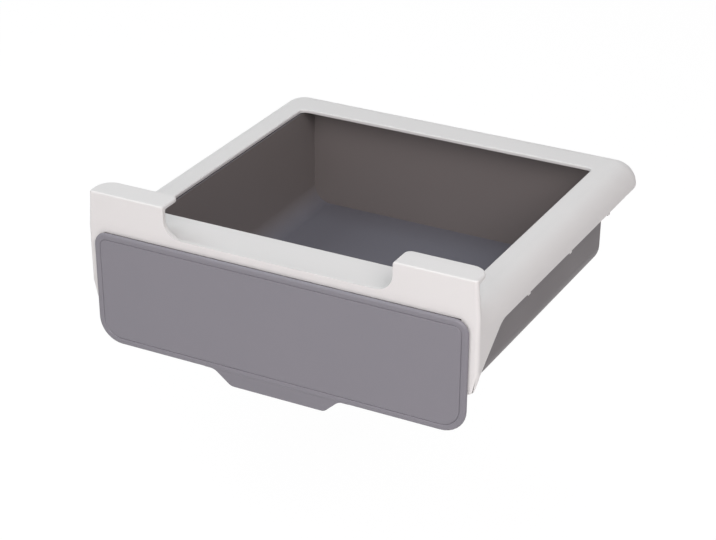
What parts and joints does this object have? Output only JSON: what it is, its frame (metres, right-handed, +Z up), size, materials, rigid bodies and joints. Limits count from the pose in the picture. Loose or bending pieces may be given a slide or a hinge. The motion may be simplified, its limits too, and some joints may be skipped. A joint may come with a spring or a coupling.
{
  "type": "under-shelf drawer",
  "caption": "Open-topped frame that hooks over the front edge of a shelf and hangs a pull-out tray below it, with a rounded drawer front and a pull tab at its foot.",
  "frame": {"origin": "centre of the front rail's top face, where the shelf's underside rests", "axes": "+Z up, out of the rails that touch the shelf; -Y out of the shelf's front, the way the drawer opens; +X to the right seen from the front along +Y"},
  "size_m": [0.3, 0.2945, 0.1249],
  "materials": {
    "white_plastic": "fine satin moulding",
    "grey_plastic": "fine satin moulding"
  },
  "bodies": {
    "frame": {"mounting_frame": "white_plastic", "left_runner": "white_plastic", "right_runner": "white_plastic"},
    "drawer": {"drawer_tray": "grey_plastic", "front_panel": "grey_plastic", "face_plate": "grey_plastic"}
  },
  "joints": [
    {"name": "drawer_slide", "type": "slide", "parent": "frame", "child": "drawer", "axis": [0, -1, 0], "range_m": [0, 0.2]}
  ]
}
